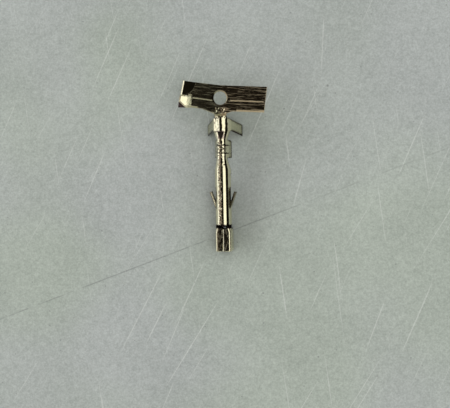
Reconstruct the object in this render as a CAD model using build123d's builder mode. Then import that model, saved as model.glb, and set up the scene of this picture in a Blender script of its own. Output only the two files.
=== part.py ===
from build123d import *
from math import asin, atan2, cos, degrees, radians, sin, tan
import os

# Crimp socket contact, one stamped and folded sheet, still hanging from one pitch of carrier strip.
# While it is drawn, the socket's axis is the Y axis, with the mating end at Y = 0 and the strip far out on +Y,
# and the closed floor of the crimp barrels faces +Z. At the end it is laid down the way it comes to rest.

# Sheet, and how far a cut reaches past its surface, past its end and right through the contact
sheet = 0.25
hair = 0.01
past = 0.10
through = 5.0

# Stations along the contact, from the mating end
head_length = 3.18
slot_length = 0.40
lance_root = 5.85
window_rear = 8.60
tube_rear = 10.30
funnel_front = 11.05
wire_front = 12.60
wire_rear = 15.15
insulation_front = 16.22
insulation_rear = 18.05
neck_score = 18.45
neck_rear = 18.46
flare_start = 18.62

# Round socket
socket_radius = 1.08
seam_gap = 0.07

# Split head
head_half_width = 1.10
head_half_height = 1.06
head_corner_x = 1.07
head_corner_z = 1.02
head_round = 0.34
head_rear_round = 0.56
head_rear_inset = 0.04
head_lip = 0.58
head_side = 0.06
slit_side = -0.02
tine_slit = 0.11
tine_rollover = 0.12
tine_rollover_depth = 0.075
tine_notch = 0.20
tine_lead = 0.09
bridge_height = 0.30
socket_bore = socket_radius - sheet

# Locking lances
lance_length = 2.33
lance_flare = 20.0
lance_half_height = 0.45
lance_overlap = 0.06
window_half_height = 0.56

# Funnel between the wire barrel and the socket
funnel_flare = 5.0
funnel_leg_wire = 0.04
funnel_leg_middle = 0.20
funnel_leg_rear = 0.40
funnel_floor_arc = 80.0
relief_gap = 0.10
mark_station = 11.60
mark_side = -0.08
mark_length = 0.50
mark_width = 0.15
mark_depth = 0.06
mark_turn = 45.0

# Wire barrel
wire_crown = 1.03
wire_radius = 0.75
wire_flare = 22.0
wire_leg = 1.23
wire_corner = 0.12
wire_corner_top = 0.45
wire_corner_low = 0.20
wire_tip_cut = 0.24
wire_tip_cut_top = -0.20
wire_tip_cut_low = -0.62
groove_width = 0.16
groove_depth = 0.05
groove_pitch = 0.52
outer_groove_width = 0.20
outer_groove_depth = 0.045
outer_groove_reach = 62.0

# Insulation barrel
insulation_crown = 1.13
insulation_radius = 1.17
insulation_flare = 28.0
insulation_leg = 2.92
flank_bow = 20.0
floor_rear_side = 0.90
wing_root_side = 0.96
wing_root_rear = 18.02
wing_outer_side = 2.60
wing_outer_rear = 16.82
wing_outer_front = 15.30
wing_root_front_side = 1.24
wing_root_front = 16.26
floor_front_side = 1.02
flank_start = 8.0
facet_width = 0.96
facet_front = 15.17

# Low web between the two barrels, and the neck
web_arc_insulation = 78.0
web_arc_wire = 86.0
neck_arc = 49.0
neck_width = 1.62
neck_flat_radius = 16.0
neck_overlap = 0.01
score_width = 0.17
score_depth = 0.13

# Carrier strip
strip_width = 3.44
flare_depth = 0.38
strip_middle = flare_start + flare_depth + strip_width / 2
strip_left = 5.42
strip_right = 6.21
strip_turn_left = 8.8
strip_turn_right = 3.0
left_shift = 0.08
left_end_slant = 0.065
right_end_slant = 0.145
left_edge_spread = 10.0
pilot_radius = 0.90
pilot_bevel = 0.12
flare_overlap = 0.60
flare_left_reach = 2.45
flare_left_rise = 0.66
flare_right_reach = 1.55
flare_right_rise = 0.27
flare_round = 0.20
crease_width = 0.24
crease_depth = 0.05
crease_left_drop = 0.53
crease_left_start = 1.05
crease_left_end = 3.70
crease_right_drop = 0.36
crease_right_start = 1.40
crease_right_end = 5.95
end_bend_start = 3.74
end_bend_run = 0.24
end_bend_angle = 14.0
end_far_angle = 1.5
end_flat_to = -0.24
end_ramp = 0.20
corner_fold = 22.0
corner_lap = 0.05
corner_fold_along = 5.38
corner_fold_across = 1.05
corner_fold_near = 4.50
rollover_left_start = 2.90
rollover_right_start = 2.30
edge_rollover = 0.23
edge_rollover_depth = 0.10
end_rollover = 0.20
end_rollover_depth = 0.115


def station(distance):
    """The plane square to the contact's axis, a distance from the mating end, drawn as X and Z."""
    return Plane.XZ.offset(-distance)


def arc_point(crown, radius, angle):
    """A point on a round floor, an angle away from its highest line."""
    return (radius * sin(radians(angle)), crown - radius + radius * cos(radians(angle)))


def flip(point):
    """The same point on the other side."""
    return (-point[0], point[1])


def curved_floor(distance, crown, radius, angle):
    """The sheet's section where it is one round strip, with no wings."""
    outer = arc_point(crown, radius, angle)
    inner = arc_point(crown - sheet, radius - sheet, angle)
    with BuildSketch(station(distance)) as section:
        with BuildLine():
            ThreePointArc(flip(outer), (0, crown), outer)
            Line(outer, inner)
            ThreePointArc(inner, (0, crown - sheet), flip(inner))
            Line(flip(inner), flip(outer))
        make_face()
    return section.sketch


def dented_floor(distance, crown, radius, flare, leg):
    """The sheet's section where a floor with two wings has its left flank pressed flat."""
    bend = arc_point(crown, radius, 90 - flare)
    inside = arc_point(crown - sheet, radius - sheet, 90 - flare)
    step = (leg * sin(radians(flare)), -leg * cos(radians(flare)))
    tip = (bend[0] + step[0], bend[1] + step[1])
    inner_tip = (inside[0] + step[0], inside[1] + step[1])
    flank_top = arc_point(crown, radius, -flank_start)
    inner_flank_top = arc_point(crown - sheet, radius - sheet, -flank_start)
    with BuildSketch(station(distance)) as section:
        with BuildLine():
            Line(flip(tip), flip(bend))
            Line(flip(bend), flank_top)
            ThreePointArc(flank_top, arc_point(crown, radius, flank_bow), bend)
            Line(bend, tip)
            Line(tip, inner_tip)
            Line(inner_tip, inside)
            ThreePointArc(inside, arc_point(crown - sheet, radius - sheet, flank_bow), inner_flank_top)
            Line(inner_flank_top, flip(inside))
            Line(flip(inside), flip(inner_tip))
            Line(flip(inner_tip), flip(tip))
        make_face()
    return section.sketch


def winged_floor(distance, crown, radius, flare, leg):
    """The sheet's section where a round floor runs on into two straight wings."""
    bend = arc_point(crown, radius, 90 - flare)
    inside = arc_point(crown - sheet, radius - sheet, 90 - flare)
    step = (leg * sin(radians(flare)), -leg * cos(radians(flare)))
    tip = (bend[0] + step[0], bend[1] + step[1])
    inner_tip = (inside[0] + step[0], inside[1] + step[1])
    with BuildSketch(station(distance)) as section:
        with BuildLine():
            Line(flip(tip), flip(bend))
            ThreePointArc(flip(bend), (0, crown), bend)
            Line(bend, tip)
            Line(tip, inner_tip)
            Line(inner_tip, inside)
            ThreePointArc(inside, (0, crown - sheet), flip(inside))
            Line(flip(inside), flip(inner_tip))
            Line(flip(inner_tip), flip(tip))
        make_face()
    return section.sketch


def head_outline(distance, corner_round, inset=0.0):
    """The head's outline, wider than high, with four rounded corners, drawn a distance inside the outer face."""
    corner = (head_corner_x - inset, head_corner_z - inset)
    low = (head_corner_x - inset, inset - head_corner_z)
    with BuildSketch(station(distance)) as section:
        with BuildLine():
            ThreePointArc(flip(corner), (0, head_half_height - inset), corner)
            ThreePointArc(corner, (head_half_width - inset, 0), low)
            ThreePointArc(low, (0, inset - head_half_height), flip(low))
            ThreePointArc(flip(low), (inset - head_half_width, 0), flip(corner))
        make_face()
        fillet(section.vertices(), corner_round - inset)
    return section.sketch


def on_half(side, along, across):
    """A point of the strip's left (-1) or right (1) half, measured from the pilot hole along and across it."""
    turn = radians(strip_turn_left if side < 0 else strip_turn_right)
    return (
        side * along * cos(turn) + across * sin(turn),
        strip_middle - side * along * sin(turn) + across * cos(turn),
    )


def across_half(side, along):
    """The plane square to one half of the strip, with X across the strip and Y up from its top face."""
    turn = radians(strip_turn_left if side < 0 else strip_turn_right)
    x, y = on_half(side, along, 0)
    return Plane(
        origin=(x, y, insulation_crown), x_dir=(sin(turn), cos(turn), 0), z_dir=(cos(turn), -sin(turn), 0)
    )


def end_rise(along, angle):
    """How far the strip's bent end has risen, a distance along it."""
    return tan(radians(angle)) * max(along - end_bend_start - end_bend_run / 2, 0)


def end_section(across, angle, drop, spread=0.0):
    """The section of the strip's left end, along the strip, with its sheared end rolled over."""
    turn = radians(strip_turn_left - spread)
    x, y = on_half(-1, end_bend_start, across)
    reach = strip_left - left_end_slant * across
    bend = end_bend_start + end_bend_run
    lip = reach - end_rollover
    end_plane = Plane(
        origin=(x, y, insulation_crown), x_dir=(-cos(turn), sin(turn), 0), z_dir=(sin(turn), cos(turn), 0)
    )
    with BuildSketch(end_plane) as section:
        with BuildLine():
            Polyline(
                (0, -drop),
                (end_bend_run, end_rise(bend, angle) - drop),
                (lip - end_bend_start, end_rise(lip, angle) - drop),
                (reach - end_bend_start, end_rise(reach, angle) - max(drop, end_rollover_depth)),
                (reach - end_bend_start, end_rise(reach, angle) - sheet),
                (end_bend_run, end_rise(bend, angle) - sheet),
                (0, -sheet),
                close=True,
            )
        make_face()
    return section.sketch


# Insulation barrel and its swept wings
with BuildPart() as insulation:
    extrude(
        dented_floor(
            insulation_rear, insulation_crown, insulation_radius, insulation_flare, insulation_leg
        ),
        amount=insulation_rear - wing_outer_front + past,
    )
    with BuildSketch(Plane.XY.offset(-through)) as wing_plan:
        with BuildLine():
            Polyline(
                (0, insulation_rear),
                (floor_rear_side, insulation_rear),
                (wing_root_side, wing_root_rear),
                (wing_outer_side, wing_outer_rear),
                (wing_outer_side, wing_outer_front),
                (wing_root_front_side, wing_root_front),
                (floor_front_side, insulation_front),
                (0, insulation_front),
                close=True,
            )
        make_face()
        mirror(about=Plane.YZ)
    extrude(amount=2 * through, mode=Mode.INTERSECT)

# Taper from the insulation barrel to the wire barrel
with BuildPart() as taper:
    loft(
        [
            curved_floor(insulation_front, insulation_crown, insulation_radius, web_arc_insulation),
            curved_floor(wire_rear, wire_crown, wire_radius, web_arc_wire),
        ]
    )
    # A flat facet on the crown, wide at the insulation barrel and running out to a point
    taper_slope = (insulation_crown - wire_crown) / (insulation_front - wire_rear)
    facet_low = wire_crown + taper_slope * (facet_front - wire_rear)
    facet_high = insulation_crown - facet_width ** 2 / (8 * insulation_radius)
    with BuildSketch(Plane.YZ.offset(-through)):
        with BuildLine():
            Polyline(
                (facet_front, facet_low),
                (insulation_front + hair, facet_high),
                (insulation_front + hair, insulation_crown + past),
                (facet_front, insulation_crown + past),
                close=True,
            )
        make_face()
    extrude(amount=2 * through, mode=Mode.SUBTRACT)

# Neck, from the flat strip into the round floor of the insulation barrel
neck_turn = degrees(atan2(neck_width / 2, neck_flat_radius))
with BuildPart() as neck:
    loft(
        [
            curved_floor(neck_rear, insulation_crown, neck_flat_radius, neck_turn),
            curved_floor(insulation_rear, insulation_crown, insulation_radius, neck_arc),
        ]
    )

# Wire barrel, with the rear corners of its wings cut off
with BuildPart() as wire:
    extrude(
        winged_floor(wire_rear, wire_crown, wire_radius, wire_flare, wire_leg),
        amount=wire_rear - wire_front,
    )
    with BuildSketch(Plane.YZ.offset(-through)) as wing_side:
        with BuildLine():
            Polyline(
                (wire_front, through),
                (wire_rear, through),
                (wire_rear, wire_corner_top),
                (wire_rear - wire_corner, wire_corner_low),
                (wire_rear - wire_corner, wire_tip_cut_top),
                (wire_rear - wire_corner - wire_tip_cut, wire_tip_cut_low),
                (wire_rear - wire_corner - wire_tip_cut, -through),
                (wire_front, -through),
                close=True,
            )
        make_face()
    extrude(amount=2 * through, mode=Mode.INTERSECT)

# Funnel, opening from the wire barrel to the round socket
with BuildPart() as funnel:
    loft(
        [
            winged_floor(wire_front, wire_crown, wire_radius, wire_flare, funnel_leg_wire),
            winged_floor(funnel_front, socket_radius, socket_radius, funnel_flare, funnel_leg_middle),
        ]
    )
with BuildPart() as funnel_mouth:
    loft(
        [
            winged_floor(funnel_front, socket_radius, socket_radius, funnel_flare, funnel_leg_middle),
            winged_floor(
                tube_rear + relief_gap, socket_radius, socket_radius, funnel_flare, funnel_leg_rear
            ),
        ]
    )
with BuildPart() as funnel_floor:
    extrude(
        curved_floor(tube_rear + relief_gap, socket_radius, socket_radius, funnel_floor_arc),
        amount=relief_gap,
    )

# Round socket with its seam, the two lance windows and the lances bent out of them
with BuildPart() as socket:
    with BuildSketch(station(tube_rear)):
        Circle(socket_radius)
        Circle(socket_bore, mode=Mode.SUBTRACT)
    extrude(amount=tube_rear - head_length)
    with BuildSketch(station(tube_rear)):
        with Locations((0, -socket_radius)):
            Rectangle(seam_gap, 3 * sheet)
    extrude(amount=tube_rear - head_length, mode=Mode.SUBTRACT)
    with BuildSketch(Plane.YZ.offset(-through)):
        with Locations(((lance_root + window_rear) / 2, 0)):
            Rectangle(window_rear - lance_root, 2 * window_half_height)
    extrude(amount=2 * through, mode=Mode.SUBTRACT)
    # The slot behind the head is cut across the top, and leaves a bridge from each side round to the seam.
    with BuildSketch(Plane.YZ.offset(-through)):
        with Locations((head_length + slot_length / 2, bridge_height + through / 2)):
            Rectangle(slot_length, through)
    extrude(amount=2 * through, mode=Mode.SUBTRACT)

hinge_x = socket_radius - sheet / 2
lance_turn = degrees(asin(lance_half_height / hinge_x))
with BuildPart() as lances:
    for side in (1, -1):
        along = (side * sin(radians(lance_flare)), cos(radians(lance_flare)), 0)
        across = (side * cos(radians(lance_flare)), -sin(radians(lance_flare)), 0)
        hinge = (side * hinge_x, lance_root - lance_overlap, 0)
        with BuildSketch(Plane(origin=hinge, x_dir=across, z_dir=along)):
            with BuildLine():
                outer_x = socket_radius * cos(radians(lance_turn)) - hinge_x
                outer_z = socket_radius * sin(radians(lance_turn))
                inner_x = socket_bore * cos(radians(lance_turn)) - hinge_x
                inner_z = socket_bore * sin(radians(lance_turn))
                ThreePointArc((outer_x, -outer_z), (sheet / 2, 0), (outer_x, outer_z))
                Line((outer_x, outer_z), (inner_x, inner_z))
                ThreePointArc((inner_x, inner_z), (-sheet / 2, 0), (inner_x, -inner_z))
                Line((inner_x, -inner_z), (outer_x, -outer_z))
            make_face()
        extrude(amount=lance_length + lance_overlap)

# Head, round where it meets the slot and squarer towards the mouth, split into two tines
with BuildPart() as head:
    loft(
        [
            head_outline(head_length, head_rear_round, head_rear_inset),
            head_outline(head_length - head_lip, head_round),
        ]
    )
    extrude(head_outline(head_length - head_lip, head_round), amount=head_length - head_lip)
    chamfer(head.faces().sort_by(Axis.Y)[0].outer_wire().edges(), tine_lead)
    # The bore and its lead-in at the mouth
    extrude(
        head_outline(head_length, head_rear_round, sheet), amount=head_length, mode=Mode.SUBTRACT
    )
    chamfer(head.faces().sort_by(Axis.Y)[0].inner_wires()[0].edges(), tine_lead)

# Carrier strip, with the pilot hole and the flared neck
half_width = strip_width / 2
left_low = half_width + left_shift
with BuildPart() as strip:
    with BuildSketch(Plane.XY.offset(insulation_crown - sheet)) as strip_plan:
        with BuildLine():
            Polyline(
                on_half(-1, 0, half_width),
                on_half(-1, end_bend_start, half_width - left_shift),
                on_half(-1, end_bend_start, -left_low),
                on_half(-1, 0, -half_width),
                close=True,
            )
        make_face()
        with BuildLine():
            Polyline(
                on_half(1, 0, half_width),
                on_half(1, strip_right + right_end_slant, half_width),
                on_half(1, strip_right - right_end_slant, -half_width),
                on_half(1, 0, -half_width),
                close=True,
            )
        make_face()
        with Locations((0, strip_middle)):
            Circle(half_width)
        with BuildLine():
            Polyline(
                (-neck_width / 2, neck_rear - neck_overlap),
                (neck_width / 2, neck_rear - neck_overlap),
                (neck_width / 2, flare_start),
                (flare_right_reach, flare_start + flare_right_rise),
                (flare_right_reach + flare_overlap, strip_middle),
                (-flare_left_reach - flare_overlap, strip_middle),
                (-flare_left_reach, flare_start + flare_left_rise),
                (-neck_width / 2, flare_start),
                close=True,
            )
        make_face()
        for corner in (
            (neck_width / 2, flare_start, 0),
            (-neck_width / 2, flare_start, 0),
        ):
            fillet(strip_plan.vertices().sort_by_distance(corner)[0], flare_round)
        with Locations((0, strip_middle)):
            Circle(pilot_radius, mode=Mode.SUBTRACT)
    extrude(amount=sheet)
    # Bevelled rim of the pilot hole
    rim = strip.edges().filter_by(GeomType.CIRCLE).group_by(Axis.Z)[-1]
    chamfer(rim.filter_by(lambda edge: abs(edge.radius - pilot_radius) < hair), pilot_bevel)
    # Long crease, one run on each side of the pilot hole
    for side, start, run, drop in (
        (1, crease_right_end, crease_right_end - crease_right_start, crease_right_drop),
        (-1, crease_left_end, crease_left_end - crease_left_start, crease_left_drop),
    ):
        with BuildSketch(across_half(side, start)):
            with BuildLine():
                Polyline(
                    (-drop - crease_width / 2, hair / 10),
                    (-drop, -crease_depth),
                    (-drop + crease_width / 2, hair / 10),
                    close=True,
                )
            make_face()
        extrude(amount=-side * run, mode=Mode.SUBTRACT)
    # Edge towards the contact, rolled over where it was sheared
    for side, start, run, low in (
        (1, rollover_right_start, strip_right + through - rollover_right_start, half_width),
        (-1, end_bend_start, end_bend_start - rollover_left_start, left_low),
    ):
        with BuildSketch(across_half(side, start)):
            with BuildLine():
                Polyline(
                    (edge_rollover - low, 0),
                    (-edge_rollover - low, -2 * edge_rollover_depth),
                    (-edge_rollover - low, sheet),
                    (edge_rollover - low, sheet),
                    close=True,
                )
            make_face()
        extrude(amount=run, mode=Mode.SUBTRACT)

# Left end of the strip: nearly flat in its far part, bent up in its near part
with BuildPart() as strip_end:
    loft(
        [
            end_section(half_width - left_shift, end_far_angle, 0),
            end_section(end_flat_to, end_far_angle, 0),
            end_section(end_flat_to - end_ramp, end_bend_angle, 0),
            end_section(edge_rollover - left_low, end_bend_angle, 0),
            end_section(-left_low, end_bend_angle, edge_rollover_depth, left_edge_spread),
        ],
        ruled=True,
    )

# The corner of the bent end is folded down over a slanting crease.
fold_start = on_half(-1, corner_fold_along, -corner_fold_across)
fold_end = on_half(-1, corner_fold_near, -left_low)
fold_run = (fold_end[0] - fold_start[0], fold_end[1] - fold_start[1])
fold_start_rise = end_rise(corner_fold_along, end_bend_angle)
fold_end_rise = end_rise(corner_fold_near, end_bend_angle)
fold = Axis(
    (fold_start[0], fold_start[1], insulation_crown + fold_start_rise),
    (fold_run[0], fold_run[1], fold_end_rise - fold_start_rise),
)
fold_side = Plane(
    origin=(fold_start[0], fold_start[1], 0),
    x_dir=(fold_run[0], fold_run[1], 0),
    z_dir=(fold_run[1], -fold_run[0], 0),
)
with BuildPart() as corner_piece:
    add(strip_end.part)
    split(bisect_by=fold_side.offset(-corner_lap), keep=Keep.TOP)
with BuildPart() as strip_rest:
    add(strip_end.part)
    split(bisect_by=fold_side, keep=Keep.BOTTOM)
    add(corner_piece.part.rotate(fold, corner_fold))
    add(strip.part)

# The whole sheet as one piece
groove_side = radians(-outer_groove_reach)
groove_plane = Plane(
    origin=(0, 0, wire_crown - wire_radius),
    x_dir=(0, 1, 0),
    z_dir=(cos(groove_side), 0, -sin(groove_side)),
)
groove_axis = Axis((0, 0, wire_crown - wire_radius), (0, 1, 0))
with BuildPart() as contact:
    for piece in (
        insulation, taper, neck, wire, funnel, funnel_mouth, funnel_floor, socket, lances, strip_rest
    ):
        add(piece.part)
    # The head sits a little to one side of the socket, and its slit a little to the other.
    add(head.part.moved(Location((head_side, 0, 0))))
    # Slit between the two tines, on both sides, with the tines' corners taken off
    for facing in (1, -1):
        with BuildSketch(Plane(origin=(slit_side, 0, 0))):
            with Locations((0, head_length / 2)):
                Rectangle(tine_slit, head_length + 2 * hair)
            with BuildLine():
                Polyline(
                    (-tine_slit / 2 - tine_notch, head_length + 2 * hair),
                    (0, head_length - tine_notch - tine_slit / 2),
                    (tine_slit / 2 + tine_notch, head_length + 2 * hair),
                    close=True,
                )
            make_face()
            with BuildLine():
                Polyline(
                    (-tine_slit / 2 - tine_lead, -hair),
                    (0, tine_lead + tine_slit / 2),
                    (tine_slit / 2 + tine_lead, -hair),
                    close=True,
                )
            make_face()
        extrude(amount=facing * through, mode=Mode.SUBTRACT)
    # The slit's upper edges are rolled over.
    with BuildSketch(Plane(origin=(slit_side, head_length, 0), x_dir=(1, 0, 0), z_dir=(0, -1, 0))):
        with BuildLine():
            Polyline(
                (-tine_slit / 2 - tine_rollover, head_half_height),
                (-tine_slit / 2, head_half_height - tine_rollover_depth),
                (tine_slit / 2, head_half_height - tine_rollover_depth),
                (tine_slit / 2 + tine_rollover, head_half_height),
                (tine_slit / 2 + tine_rollover, head_half_height + past),
                (-tine_slit / 2 - tine_rollover, head_half_height + past),
                close=True,
            )
        make_face()
    extrude(amount=head_length + past, mode=Mode.SUBTRACT)
    # Gripping grooves across the inside of the wire barrel, which show through faintly outside
    for row in (-1, 0, 1):
        groove_front = (wire_front + wire_rear) / 2 + row * groove_pitch + groove_width / 2
        extrude(
            winged_floor(
                groove_front,
                wire_crown - sheet + groove_depth,
                wire_radius - sheet + groove_depth,
                wire_flare,
                wire_leg + 5 * past,
            ),
            amount=groove_width,
            mode=Mode.SUBTRACT,
        )
        groove_middle = groove_front - groove_width / 2
        with BuildSketch(groove_plane):
            with BuildLine():
                Polyline(
                    (groove_middle - outer_groove_width / 2, wire_radius),
                    (groove_middle, wire_radius - outer_groove_depth),
                    (groove_middle + outer_groove_width / 2, wire_radius),
                    (groove_middle + outer_groove_width / 2, wire_radius + past),
                    (groove_middle - outer_groove_width / 2, wire_radius + past),
                    close=True,
                )
            make_face()
        revolve(axis=groove_axis, revolution_arc=2 * outer_groove_reach, mode=Mode.SUBTRACT)
    # Score across the neck, where the contact is broken off its strip
    with BuildSketch(Plane.YZ.offset(-neck_width)):
        with BuildLine():
            Polyline(
                (neck_score - score_width / 2, insulation_crown + hair),
                (neck_score, insulation_crown - score_depth),
                (neck_score + score_width / 2, insulation_crown + hair),
                close=True,
            )
        make_face()
    extrude(amount=2 * neck_width, mode=Mode.SUBTRACT)
    # Slanting punch mark at the start of the funnel
    with BuildSketch(Plane.XY.offset(socket_radius - mark_depth)):
        with Locations((mark_side, mark_station)):
            SlotOverall(mark_length, mark_width, rotation=mark_turn)
    extrude(amount=through, mode=Mode.SUBTRACT)

# Laid down the way it rests, on its two wing tips and the lower edge of the head
wing_tips = insulation.vertices().group_by(Axis.Z)[0].sort_by(Axis.Y)[0]
rest_turn = degrees(atan2(-head_half_height - wing_tips.Z, wing_tips.Y - tine_lead))
laid = contact.part.rotate(Axis.X, rest_turn)
room = laid.bounding_box()
with BuildPart() as socket_contact:
    add(laid.moved(Location((-room.center().X, -room.center().Y, -room.min.Z))))
socket_contact.part.label = "socket_contact"

os.makedirs("parts", exist_ok=True)
export_step(socket_contact.part, "parts/socket_contact.step")
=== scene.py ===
# %% [markdown]
# A crimp socket contact, photographed from almost straight above while it lies on a pale table. One sheet
# of thin brass was stamped, folded and flash plated. The drawing of every fold is already in the packed
# model, so this lesson is about what the drawing can't show: the plating, the grain that rolling left in
# the sheet, rub marks, and the light that a bright little part needs before it reads as metal at all.

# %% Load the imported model
import math

import bpy
from mathutils import Matrix, Vector


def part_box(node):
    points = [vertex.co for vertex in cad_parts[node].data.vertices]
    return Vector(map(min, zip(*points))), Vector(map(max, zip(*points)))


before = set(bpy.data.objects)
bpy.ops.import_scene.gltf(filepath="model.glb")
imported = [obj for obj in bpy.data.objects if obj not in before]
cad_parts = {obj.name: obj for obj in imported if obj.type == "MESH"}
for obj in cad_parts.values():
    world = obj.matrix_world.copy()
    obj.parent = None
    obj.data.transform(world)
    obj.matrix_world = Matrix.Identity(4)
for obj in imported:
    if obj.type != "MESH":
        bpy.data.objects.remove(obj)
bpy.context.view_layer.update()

# %% [markdown]
# Every size below is in metres, or in millimetres times mm. The contact lies in the frame of the drawing:
# +Y runs from the split head to the carrier strip and +Z points up from the table. It rests on two wing
# tips and its head, so its own axis rises a little. Marks are easier to place along the contact than along
# the table, and on_contact turns the one into the other.

# %% Sizes that the looks depend on
mm = 0.001
low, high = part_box("socket_contact")
rest_turn = math.radians(4.154909)
middle_x = -0.333247 * mm
middle_y = -11.477965 * mm
middle_z = 1.050693 * mm


def on_contact(x, y, z):
    """A place given along the contact, in millimetres from its mating end, put into the frame."""
    y, z = y * mm, z * mm
    return Vector(
        (
            x * mm + middle_x,
            y * math.cos(rest_turn) - z * math.sin(rest_turn) + middle_y,
            y * math.sin(rest_turn) + z * math.cos(rest_turn) + middle_z,
        )
    )


pilot_hole = on_contact(0, 20.72, 1.13)
left_turn = math.radians(8.8)
right_turn = math.radians(3.0)
print("pilot hole", [round(v / mm, 2) for v in pilot_hole])
print("contact", [round((far - near) / mm, 2) for near, far in zip(low, high)])

# %% [markdown]
# Shader sums are easier to read as Python. A small class wraps a socket, so that `1 - mask` adds the Math
# node by itself, and one method adds every other kind of node. The rest of that class only names nodes used
# often.


# %% Write shader sums as plain Python
class Wire:
    """An output socket that takes part in sums."""

    def __init__(self, shader, socket):
        self.shader = shader
        self.socket = socket

    def math(self, operation, first, second):
        return self.shader.node("ShaderNodeMath", {"operation": operation}, s0=first, s1=second)

    def __add__(self, other):
        return self.math("ADD", self, other)

    def __radd__(self, other):
        return self.math("ADD", other, self)

    def __sub__(self, other):
        return self.math("SUBTRACT", self, other)

    def __rsub__(self, other):
        return self.math("SUBTRACT", other, self)

    def __mul__(self, other):
        return self.math("MULTIPLY", self, other)

    def __rmul__(self, other):
        return self.math("MULTIPLY", other, self)


class Shader:
    """A material and the few kinds of node that it is made of."""

    def __init__(self, name):
        self.material = bpy.data.materials.new(name)
        self.material.use_nodes = True
        self.tree = self.material.node_tree
        self.tree.nodes.clear()
        self.place = self.node("ShaderNodeTexCoord", out="Object")

    def node(self, kind, settings=None, out=0, stops=(), **sockets):
        """Add a node. A socket is named by its label, or by s and its number where labels repeat."""
        node = self.tree.nodes.new(kind)
        for name, value in (settings or {}).items():
            setattr(node, name, value)
        for element, (at, tone) in zip(self.ramp_elements(node, len(stops)), stops):
            element.position = at
            element.color = (*tone, 1.0)
        for name, value in sockets.items():
            label = name.replace("_", " ")
            slot = node.inputs[int(name[1:])] if name[1:].isdigit() else node.inputs[label]
            if isinstance(value, Wire):
                self.tree.links.new(value.socket, slot)
            else:
                slot.default_value = value
        return Wire(self, node.outputs[out]) if node.outputs else None

    @staticmethod
    def ramp_elements(node, count):
        """As many colour stops as asked for, on a node that has a ramp."""
        if not count:
            return []
        elements = node.color_ramp.elements
        while len(elements) < count:
            elements.new(1.0)
        return elements

    def apart(self, vector):
        """The three numbers of a vector."""
        wire = self.node("ShaderNodeSeparateXYZ", Vector=vector)
        return [Wire(self, socket) for socket in wire.socket.node.outputs]

    def seen_from(self, spot, turn=0.0):
        """Object coordinates measured from a spot and turned about Z."""
        moved = self.node("ShaderNodeVectorMath", {"operation": "SUBTRACT"}, s0=self.place, s1=spot)
        return self.node("ShaderNodeMapping", Vector=moved, Rotation=(0, 0, turn))

    def noise(self, vector, stretch, size, detail=2.0, roughness=0.5, shift=0.0):
        """Noise with spots of about the given size, drawn out along the axes whose stretch is small."""
        drawn = self.node("ShaderNodeMapping", Vector=vector, Scale=stretch, Location=(shift, shift, shift))
        return self.node(
            "ShaderNodeTexNoise", Vector=drawn, Scale=1 / size, Detail=detail, Roughness=roughness
        )

    def length(self, vector):
        return self.node("ShaderNodeVectorMath", {"operation": "LENGTH"}, out="Value", s0=vector)

    def dot(self, first, second):
        settings = {"operation": "DOT_PRODUCT"}
        return self.node("ShaderNodeVectorMath", settings, out="Value", s0=first, s1=second)

    def rounded(self, radius):
        """The normal that the surface would have with every edge rounded to a radius."""
        return self.node("ShaderNodeBevel", {"samples": 6}, Radius=radius * mm)

    def true_normal(self):
        return self.node("ShaderNodeNewGeometry", out="Normal")

    def fade(self, value, start, end, first=0.0, last=1.0):
        """Runs smoothly from first to last while the value runs from start to end."""
        return self.node(
            "ShaderNodeMapRange",
            {"interpolation_type": "SMOOTHSTEP"},
            s0=value,
            s1=start,
            s2=end,
            s3=first,
            s4=last,
        )

    def fade_mm(self, value, start, end, first=0.0, last=1.0):
        """The same for a length, between two lengths in millimetres."""
        return self.fade(value, start * mm, end * mm, first, last)

    def ramp(self, value, *stops):
        return self.node("ShaderNodeValToRGB", stops=stops, Fac=value)

    def size_of(self, value):
        """A number without its sign."""
        return self.node("ShaderNodeMath", {"operation": "ABSOLUTE"}, s0=value)

    def blend(self, factor, first, second, kind="MIX"):
        """A mix of two colours, each a wire or three numbers."""
        first, second = (colour if isinstance(colour, Wire) else (*colour, 1.0) for colour in (first, second))
        settings = {"data_type": "RGBA", "blend_type": kind}
        return self.node("ShaderNodeMix", settings, out=2, s0=factor, s6=first, s7=second)

    def finish(self, colour, rough, **more):
        """End the material in one plain surface."""
        body = self.node("ShaderNodeBsdfPrincipled", Base_Color=colour, Roughness=rough, **more)
        self.node("ShaderNodeOutputMaterial", Surface=body)
        return self.material


print("shader helper calls", [name for name in dir(Shader) if name[0] != "_"])

# %% [markdown]
# The plating is a pale gold flash over brass, almost a mirror, so every mark on it is worth drawing. On the
# real part the marks belong to places: rolling left streaks on the strip, drawing the tube round left short
# marks across it, the teeth inside the wire barrel pushed blotches through to the outside. So the places
# come first, each a mask that is one on its part of the contact. Most are a stretch between two distances
# from the mating end, which stays right when the camera moves, and the rest are cut from it by a side or a
# height.


# %% Plated brass: the places on the contact
stretches = {
    "strip": (18.35, 30.0, 0.15),
    "tube": (3.6, 12.3, 0.25),
    "wire": (12.6, 15.05, 0.25),
    "head": (-1.0, 3.0, 0.05),
    "wing": (12.4, 18.3, 0.25),
    "insulation": (16.4, 18.2, 0.25),
    "neck": (18.1, 19.25, 0.25),
    "facet": (15.2, 16.25, 0.05),
    "slot": (3.05, 3.6, 0.05),
    "lance": (5.6, 8.4, 0.25),
}


def stretch_of(shade, name):
    """One on a stretch of the contact between two distances from the mating end, nought elsewhere."""
    start, end, soft = stretches[name]
    along = shade.apart(shade.place)[1]
    first, last = on_contact(0, start, 0).y, on_contact(0, end, 0).y
    begun = shade.fade(along, first - soft * mm, first)
    return begun * shade.fade(along, last, last + soft * mm, 1.0, 0.0)


def over_axis(shade):
    """Height over the middle line of the round socket, which rises towards the strip."""
    _, along, up = shade.apart(shade.place)
    return (up - middle_z) * math.cos(rest_turn) - (along - middle_y) * math.sin(rest_turn)


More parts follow.
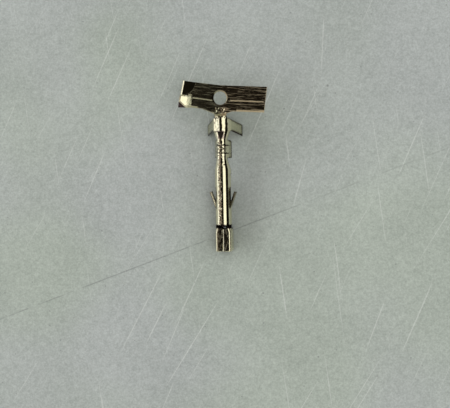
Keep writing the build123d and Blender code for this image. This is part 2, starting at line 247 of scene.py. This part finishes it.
class Places:
    """Where the parts of the contact lie, as masks that the marks share."""

    def __init__(self, shade):
        across, _, up = shade.apart(shade.place)
        self.beside = across - middle_x
        side = shade.size_of(self.beside)
        self.side = side
        for name in stretches:
            setattr(self, name, stretch_of(shade, name))
        self.wing = shade.fade_mm(over_axis(shade), 0.20, -0.05) * self.wing
        self.neck = self.neck * shade.fade_mm(side, 1.3, 0.9)
        self.facet = self.facet * shade.fade_mm(side, 0.50, 0.38)
        # Painted shade: the low inside of the slot behind the head is painted dark.
        self.slot = self.slot * shade.fade_mm(up, 1.8, 1.6)
        self.lance = self.lance * shade.fade_mm(side, 1.12, 1.20)
        self.barrel = self.insulation * (1 - self.wing)


print("stretches", sorted(stretches))

# %% [markdown]
# The carrier strip carries most of what the eye sees. Its streaks follow its two bent halves, its far left
# corner was pressed smooth inside a round crease, its near left corner was folded down and is painted dark
# as shade, as is the near half of the pilot hole's rim, and the shear rolled its near edges over. The
# streaks are noise drawn out along the strip. The corners are set by their middle and radius, because there
# is one of each.


# %% Plated brass: marks on the carrier strip
smooth_middle = Vector((-5.55, 1.65, 0)) * mm
smooth_radius = 2.02
corner_fold = Vector((-5.42, -0.50, 0)) * mm
corner_turn = math.radians(133.2)
near_left = (-0.45, -0.89, 0)


def streaks(shade):
    """Rolled streaks of the strip, which follow its two halves, and a mask of its right half."""
    middle = pilot_hole.x
    right_half = shade.fade(shade.apart(shade.place)[0], middle - 0.5 * mm, middle + 0.5 * mm)
    left, right = (
        shade.noise(shade.seen_from(pilot_hole, turn), (0.045, 1.0, 1.0), 0.085 * mm, 2.0, 0.55)
        for turn in (left_turn, right_turn)
    )
    return left + (right - left) * right_half, right_half


def scratches(shade):
    """Long hair-thin scratches that the guide rails of the press left along the strip."""
    along = shade.seen_from(pilot_hole, (left_turn + right_turn) / 2)
    return shade.fade(shade.noise(along, (0.022, 1.0, 1.0), 0.07 * mm, 1.0, 0.5, shift=13.0), 0.60, 0.68)


def smooth_corner(shade):
    """The strip's far left corner, pressed smooth inside a round crease, and the crease itself."""
    spot = shade.seen_from(pilot_hole, left_turn)
    settings = {"operation": "DISTANCE"}
    away = shade.node("ShaderNodeVectorMath", settings, out="Value", s0=spot, s1=smooth_middle)
    inside = shade.fade_mm(away, smooth_radius - 0.04, smooth_radius, 1.0, 0.0)
    crease = shade.fade_mm(away, smooth_radius - 0.10, smooth_radius - 0.03)
    crease = crease * shade.fade_mm(away, smooth_radius + 0.02, smooth_radius + 0.09, 1.0, 0.0)
    return inside, crease


def folded_corner_shade(shade):
    """The strip's near left corner, which is folded down and painted dark as shade."""
    beyond = shade.apart(shade.seen_from(pilot_hole + corner_fold, corner_turn))[0]
    return shade.fade_mm(beyond, 0.0, 0.06)


def near_lips(shade):
    """One along the edges that face the near left, where the shear rolled the sheet over."""
    return shade.fade(shade.dot(shade.rounded(0.20), near_left), 0.10, 0.30)


class StripMarks:
    """The marks of the carrier strip, each kept to its own place."""

    def __init__(self, shade, places):
        strip = places.strip
        inside, crease = smooth_corner(shade)
        self.streak, self.right_half = streaks(shade)
        from_hole, near_hole, _ = shade.apart(shade.seen_from(pilot_hole, left_turn))
        fray = shade.noise(shade.place, (0.3, 1.0, 1.0), 0.15 * mm, 2.0, 0.6, shift=9.0) - 0.5
        end = shade.fade_mm(from_hole + fray * (0.9 * mm), -4.10, -4.45)
        self.streaked = strip * (1 - inside) * (1 - end)
        self.tinted = strip * (1 - end)
        border = shade.fade_mm(from_hole, -3.70, -4.00) * shade.fade_mm(from_hole, -4.50, -4.25)
        self.border = border * shade.fade_mm(near_hole, 0.10, -0.05) * strip
        self.scuffed = shade.fade(self.streak, 0.56, 0.66) * self.streaked * (self.right_half * 0.5 + 0.5)
        self.scratched = scratches(shade) * self.streaked
        self.crease = crease * strip
        # Painted shade: the folded corner is painted dark.
        self.corner = folded_corner_shade(shade) * strip
        self.lip = near_lips(shade) * strip * (1 - self.corner)
        self.hole_away = shade.length(shade.seen_from(pilot_hole))
        # Painted shade: the near half of the pilot hole's rim is painted dark.
        rim = shade.fade_mm(self.hole_away, 1.10, 1.02)
        self.hole_rim_shade = rim * shade.fade_mm(near_hole + from_hole * 0.5, 0.15, -0.35)


print("smooth corner", [round(v / mm, 2) for v in smooth_middle], "radius", smooth_radius)

# %% [markdown]
# Behind the strip the marks are smaller. The three gripping teeth dented the wire barrel and the funnel in
# lines and a few pits, whose dark is painted shade; they are set one by one, because noise never puts a line
# where a tooth is. The blotches between them, the ripples across the tube and the rub marks on the head are
# noise of the right size. The hollows between the blotches, the hollows of the ripples on the tube's left
# band and the sides of the head's slit are painted dark as shade. The wings, seen from their thin edges,
# carry a dark outline, and every edge behind the head is darkened too: painted shade along the edges.


# %% Plated brass: marks on the barrels, the tube and the head
tooth_line = 0.07
tooth_lines = (14.31, 13.26)
tooth_marks = (
    (-0.27, 14.24, 0.10),
    (0.09, 14.64, 0.11),
    (0.10, 13.70, 0.10),
    (-0.25, 13.30, 0.10),
    (0.38, 11.68, 0.11),
    (0.05, 11.36, 0.12),
    (0.13, 12.40, 0.09),
    (0.22, 12.05, 0.09),
    (0.05, 12.85, 0.09),
)


def shaded_edges(shade, radius, start=0.99, end=0.88):
    """One along every edge, where a normal rounded to the given radius turns away from the true one."""
    return shade.fade(shade.dot(shade.rounded(radius), shade.true_normal()), start, end)


def spot_mask(shade, x, y, size):
    """One inside a small round spot on the contact, given in millimetres from its mating end."""
    spot = shade.seen_from(on_contact(x, y, 0))
    flat = shade.node("ShaderNodeVectorMath", {"operation": "MULTIPLY"}, s0=spot, s1=(1, 1, 0))
    return shade.fade_mm(shade.length(flat), size * 1.2, size * 0.7)


def line_mask(shade, y, width, wobble):
    """One on a thin line across the contact, at a distance from its mating end, with a wobble."""
    along = shade.apart(shade.place)[1] + wobble
    off = shade.size_of(along - on_contact(0, y, 0).y)
    return shade.fade_mm(off, width * 1.4, width * 0.6)


def tooth_dent_shade(shade, places, wobble):
    """The dents that the teeth inside the wire barrel pushed through to the outside, painted dark as shade.
    """
    crossing = shade.fade_mm(places.beside, -0.08, 0.12) * (1 - places.wing * 0.6)
    dent_shade = 0.0
    for y in tooth_lines:
        dent_shade = dent_shade + line_mask(shade, y, tooth_line, wobble) * crossing
    for x, y, size in tooth_marks:
        dent_shade = dent_shade + spot_mask(shade, x, y, size)
    return dent_shade


class TubeMarks:
    """The marks of everything in front of the carrier strip."""

    def __init__(self, shade, places):
        beside, wing = places.beside, places.wing
        self.ripple = shade.noise(shade.place, (0.5, 1.0, 0.5), 0.22 * mm, 1.0, 0.5, shift=3.0)
        rippled = places.tube * shade.fade_mm(beside, -0.54, -0.48)
        self.rippled = rippled * shade.fade_mm(beside, -0.02, -0.14)
        # Painted shade: the ripples' hollows on the tube's left band, where it mirrors the dim left panels,
        # are painted brown.
        self.ripple_hollow_shade = shade.fade(self.ripple, 0.54, 0.44) * self.rippled
        self.blotch = shade.noise(shade.place, (1.0, 0.8, 1.0), 0.42 * mm, 1.0, 0.5, shift=7.0)
        self.blotched = places.wire * shade.fade_mm(beside, 0.50, 0.40) * (1 - wing)
        # Painted shade: the hollows between the blotches are painted dark.
        self.gap = shade.fade(self.blotch, 0.44, 0.38) * self.blotched
        self.dent_shade = tooth_dent_shade(shade, places, (self.blotch - 0.5) * (0.35 * mm))
        # Painted shade: every edge but those of the strip and the head, and the wings' outlines, are painted
        # dark.
        self.edge = shaded_edges(shade, 0.30) * (1 - places.strip) * (1 - places.head)
        self.outline = shaded_edges(shade, 0.50, 0.997, 0.95) * wing
        # Painted shade: the sides of the head's slit are painted dark.
        slit_away = shade.size_of(beside + 0.02 * mm)
        slit_side_shade = shade.fade_mm(slit_away, 0.09, 0.12) * shade.fade_mm(slit_away, 0.28, 0.22)
        self.slit_side_shade = slit_side_shade * places.head
        rub = shade.noise(shade.place, (1.0, 0.35, 1.0), 0.20 * mm, 2.0, 0.6, shift=15.0)
        self.head_rub = places.head * shade.fade(rub, 0.42, 0.62)
        self.barrel_rub = places.barrel * shade.fade(rub, 0.50, 0.62)


print("tooth marks", len(tooth_lines) + len(tooth_marks))

# %% [markdown]
# Now the marks go into the finish. Over the gold, with its random stains, go tints one at a time: painted
# shade on the wings, the lances and the sloping facet, and last the darkest painted shade in dents, hollows,
# slits and along edges. What only scuffs the plating goes into the roughness. What tilts it goes into a bump,
# because on a mirror a tilt of a few degrees moves the reflection from a dark part of the room to a lamp.
# The two halves of the strip mirror different parts of the room, and a weak tint on each helps that along.


# %% Plated brass: colour, roughness and tilt
thin_gold = (0.76, 0.71, 0.50)
full_gold = (0.85, 0.81, 0.60)
# Painted shade: the wings are tinted grey where they mirror the shadowed table.
wing_shade_grey = (0.40, 0.42, 0.30)
left_half_green = (0.44, 0.47, 0.31)
right_half_red = (0.66, 0.50, 0.32)
# Painted shade: the lances are tinted dark brown.
lance_shade_brown = (0.28, 0.25, 0.17)
# Painted shade: the sloping facet between the barrels is tinted dark purple.
facet_shade_purple = (0.30, 0.21, 0.22)
# Painted shade: brown for the ripples' hollows on the tube.
ripple_shade_brown = (0.30, 0.24, 0.20)
# Painted shade: near black for every dark mark below.
painted_shade_dark = (0.05, 0.035, 0.035)


def brass_colour(shade, places, strip, tube):
    """Gold with random stains, tinted with painted shade place by place, the darkest painted shade on top."""
    stain = shade.noise(shade.place, (1.0, 1.0, 1.0), 0.8 * mm, 3.0, 0.6, shift=5.0)
    colour = shade.ramp(stain, (0.30, thin_gold), (0.60, full_gold))
    half_tint = shade.blend(strip.right_half, left_half_green, right_half_red)
    # Painted shade: edges, wing outlines, tooth dents, the folded corner, the slot, blotch hollows, slit
    # sides and the hole's near rim are painted near black.
    dark = tube.edge * 1.4 + tube.outline + tube.dent_shade + strip.corner * 1.2 + places.slot + tube.gap
    dark = dark + tube.slit_side_shade * 0.7 + strip.hole_rim_shade * 0.75
    for amount, tint in (
        (places.wing * 0.45, wing_shade_grey),
        (strip.tinted * 0.5, half_tint),
        (places.lance * 0.65, lance_shade_brown),
        (places.facet * 0.7, facet_shade_purple),
        (tube.ripple_hollow_shade * 0.60, ripple_shade_brown),
        (shade.fade(dark, 0.0, 1.0), painted_shade_dark),
    ):
        colour = shade.blend(amount, colour, tint)
    return colour


def brass_roughness(shade, places, strip, tube):
    """Almost a mirror, with scuffs along the strip and on the barrels."""
    grain = shade.noise(shade.place, (1.0, 1.0, 1.0), 0.12 * mm, 3.0, 0.6)
    rough = 0.05 + grain * 0.05 + strip.scuffed * 0.30 + strip.crease * 0.14 + strip.lip * 0.50
    rough = rough + places.facet * 0.14 + strip.scratched * 0.30
    return rough + tube.head_rub * 0.22 + tube.barrel_rub * 0.12


def brass_tilt(shade, places, strip, tube):
    """The normal: edges rounded a little, and the marks that have a depth."""
    height = (strip.streak - 0.5) * (strip.streaked * 0.20 + strip.border * 0.6)
    height = height + (tube.ripple - 0.5) * tube.rippled * 1.4
    blotched = tube.blotched * 0.9 + places.barrel * 0.35 + places.neck * 1.6
    height = height + (tube.blotch - 0.5) * blotched
    sharp = shade.fade_mm(strip.hole_away, 1.30, 1.15) + places.head * shade.fade_mm(places.side, 0.34, 0.26)
    rounded, true = shade.rounded(0.05), shade.true_normal()
    facing = shade.node("ShaderNodeMix", {"data_type": "VECTOR"}, out=1, s0=sharp, s4=rounded, s5=true)
    return shade.node("ShaderNodeBump", Height=height, Strength=1.0, Distance=0.1 * mm, Normal=facing)


def plated_brass():
    shade = Shader("plated brass")
    places = Places(shade)
    marks = (shade, places, StripMarks(shade, places), TubeMarks(shade, places))
    colour, rough = brass_colour(*marks), brass_roughness(*marks)
    return shade.finish(colour, rough, Metallic=1.0, Normal=brass_tilt(*marks))


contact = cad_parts["socket_contact"]
contact.material_slots[0].material = plated_brass()
print("contact mesh", len(contact.data.polygons), "faces in", contact.material_slots[0].material.name)

# %% [markdown]
# The table is plain and pale, a painted board. Paint like that is faintly cloudy and grained, and what slid
# over it left pale scratches that mostly run one way, with one dark hairline right under the contact. The
# longest scratches are set one by one and the rest are thin noise in three directions. Close to the contact
# the board sees less of the room, and an occlusion node darkens it there. The board is large, so that the
# metal mirrors only table below its horizon.

# %% Table
bpy.ops.object.select_all(action="DESELECT")
bpy.ops.mesh.primitive_plane_add(size=1.2, location=(0, 0, 0))
table = bpy.context.object
table.name = "table"

shadow_reach = 5 * mm
hairline_spot = Vector((-0.38, -9.05, 0)) * mm
hairline_turn = math.radians(20.4)
long_scratches = (
    (-5.27, -17.01, 64.6, 5.6),
    (-12.14, -19.71, 62.0, 8.0),
    (-10.20, -21.50, 63.0, 4.0),
    (13.09, 16.40, 87.0, 4.7),
    (9.79, -2.50, 74.0, 4.2),
    (20.03, -21.40, 69.0, 4.3),
)
fine_scratches = ((66, 0.30, 0.016, 0.70), (58, 0.36, 0.012, 0.72), (98, 0.30, 0.02, 0.73))
paint_dark, paint_pale = (0.345, 0.375, 0.36), (0.53, 0.57, 0.55)
green_tint, blue_tint = (0.96, 1.00, 0.94), (1.0, 1.0, 1.03)
shadow_grey = (0.10, 0.105, 0.095)
scratch_white = (0.72, 0.75, 0.73)
mark_grey = (0.16, 0.17, 0.17)


def scratch(shade, spot, turn, half):
    """One straight scratch on the table: its middle, its direction and half its length."""
    along, off, _ = shade.apart(shade.seen_from(spot, -turn))
    thin = shade.fade_mm(shade.size_of(off), 0.11, 0.03)
    return thin * shade.fade(shade.size_of(along), half, half * 0.4)


def pale_scratches(shade):
    """The long scratches by their table, and thin noise for the short ones."""
    line = 0.0
    for x, y, turn, half in long_scratches:
        line = line + scratch(shade, Vector((x, y, 0)) * mm, math.radians(turn), half * mm)
    for turn, size, stretch, least in fine_scratches:
        along = shade.seen_from(Vector((0, 0, 0)), -math.radians(turn))
        hair = shade.noise(along, (stretch, 1.0, 1.0), size * mm, 1.0, 0.5, shift=turn)
        line = line + shade.fade(hair, least, least + 0.06)
    return line


def dark_marks(shade):
    """The broken dark hairline, which fades to the right, and a few dark dots."""
    off = shade.size_of(shade.apart(shade.seen_from(hairline_spot, -hairline_turn))[1])
    broken = shade.fade(shade.noise(shade.place, (1.0, 1.0, 1.0), 3 * mm, 2.0, 0.6, shift=6.0), 0.36, 0.50)
    hairline = shade.fade_mm(off, 0.13, 0.03) * broken
    hairline = hairline * shade.fade_mm(shade.apart(shade.place)[0], 2, 14, 1.0, 0.5)
    dots = shade.noise(shade.place, (1.0, 1.0, 1.0), 0.5 * mm, 0.0, 0.5, shift=11.0)
    return hairline * 0.9 + shade.fade(dots, 0.83, 0.86)


def table_finish():
    shade = Shader("pale table")
    cloud = shade.noise(shade.place, (1.0, 1.0, 1.0), 14 * mm, 3.0, 0.6)
    speck = shade.noise(shade.place, (1.0, 1.0, 1.0), 1.0 * mm, 4.0, 0.8, shift=2.0)
    grain = shade.noise(shade.place, (1.0, 1.0, 1.0), 0.24 * mm, 2.0, 0.7, shift=4.0)
    drift = shade.fade(shade.noise(shade.place, (1.0, 1.0, 1.0), 24 * mm, 1.0, 0.5, shift=17.0), 0.35, 0.65)
    paint = shade.ramp(cloud * 0.22 + speck * 0.30 + grain * 0.48, (0.37, paint_dark), (0.63, paint_pale))
    paint = shade.blend(1.0, paint, shade.blend(drift, green_tint, blue_tint), "MULTIPLY")
    open_sky = shade.node("ShaderNodeAmbientOcclusion", {"samples": 8}, out="AO", Distance=shadow_reach)
    shaded = shade.blend((1 - open_sky) * 0.60, paint, shadow_grey)
    scratched = shade.blend(pale_scratches(shade) * 0.4, shaded, scratch_white)
    marked = shade.blend(dark_marks(shade) * 0.5, scratched, mark_grey)
    return shade.finish(marked, speck * 0.2 + 0.45)


table.data.materials.append(table_finish())
print("table", tuple(round(v, 2) for v in table.dimensions), "scratches", len(long_scratches))

# %% [markdown]
# Bright metal shows the room, not its own colour, so the lamps are placed by the angle at which the tube
# mirrors them. A soft box on the right and a low bright window on the left draw the two light lines. The
# ceiling between them stays dark, which is why the flat strip looks dark. Dim panels fill the left side,
# and two more in front and behind light the table and pick out the crease and the sheared edges. The last
# two lamps light only the table: mirrors don't see them, so they add no line to the metal.


# %% Lamps
white = (1.0, 1.0, 1.0)
lamp_distance = 0.5
# name, angles from straight above towards +X, length, glow, colour, heading, seen by mirrors
lamp_plan = (
    ("right soft box", (10.5, 47.5), 1.0, 1.3, (1.0, 0.99, 0.92), 0, True),
    ("left window", (-78.0, -65.0), 1.0, 1.6, white, 0, True),
    ("left sill", (-85.0, -78.0), 1.0, 1.05, white, 0, True),
    ("left low panel", (-64.0, -49.0), 1.0, 0.42, (1.0, 0.90, 0.82), 0, True),
    ("left high panel", (-49.0, -33.0), 1.0, 0.34, (1.0, 0.88, 0.80), 0, True),
    ("left dim panel", (-33.0, -18.0), 1.0, 0.12, (1.0, 0.85, 0.75), 0, True),
    ("front panel", (47.0, 75.0), 0.5, 0.9, (1.0, 0.97, 0.88), -96, True),
    ("back panel", (55.0, 82.0), 0.8, 0.6, white, 90, True),
    ("left fill", (-80.0, -55.0), 1.0, 3.2, white, 0, False),
    ("right fill", (56.0, 78.0), 1.0, 2.6, white, 0, False),
)


def soft_box(name, angles, length, glow, tint, heading, mirrored):
    """A lamp between two angles from straight above, towards +X, or towards a heading turned from it."""
    middle = math.radians(sum(angles) / 2)
    half = math.radians(angles[1] - angles[0]) / 2
    lamp = bpy.data.lights.new(name, "AREA")
    lamp.shape = "RECTANGLE"
    lamp.size = 2 * lamp_distance * math.tan(half)
    lamp.size_y = length
    lamp.color = tint
    lamp.energy = glow * math.pi * lamp.size * lamp.size_y
    holder = bpy.data.objects.new(name, lamp)
    bpy.context.scene.collection.objects.link(holder)
    turn = Matrix.Rotation(math.radians(heading), 4, "Z") @ Matrix.Rotation(middle, 4, "Y")
    holder.matrix_world = turn @ Matrix.Translation((0, 0, lamp_distance))
    holder.visible_glossy = mirrored


for row in lamp_plan:
    soft_box(*row)
world = bpy.data.worlds.new("room")
world.use_nodes = True
world.node_tree.nodes["Background"].inputs["Color"].default_value = (1.0, 0.85, 0.65, 1)
world.node_tree.nodes["Background"].inputs["Strength"].default_value = 0.008
bpy.context.scene.world = world
bpy.context.scene.view_settings.view_transform = "Standard"

# %% [markdown]
# The camera looks down from a little to the right of straight above, through a long lens. How far to the
# right shows in the wings, which hang lower than the strip and so seem shifted. Its distance follows from
# the size of one pixel on the table, so that a change of lens keeps the contact's size in the picture.

# %% Camera
lens = 150.0
sensor = 36.0
pixel = 0.1350 * mm
picture_width = 450
view_turn = math.radians(11.0)
view_roll = math.radians(0.35)
distance = lens / sensor * picture_width * pixel
eye = bpy.data.cameras.new("camera")
eye.lens = lens
eye.sensor_width = sensor
eye.clip_start = 0.01
camera = bpy.data.objects.new("camera", eye)
bpy.context.scene.collection.objects.link(camera)
aim = on_contact(0.29, 6.42, 0.5)
away = Vector((math.sin(view_turn), 0, math.cos(view_turn)))
up = Vector((math.sin(view_roll), math.cos(view_roll), 0))
right = up.cross(away).normalized()
up = away.cross(right).normalized()
turned = Matrix((right, up, away)).transposed().to_4x4()
camera.matrix_world = Matrix.Translation(aim + away * distance) @ turned
bpy.context.scene.camera = camera
print("camera", [round(v, 4) for v in camera.matrix_world.translation])

# %% [markdown]
# Every mark is in the finish, and no piece was added to the drawing.
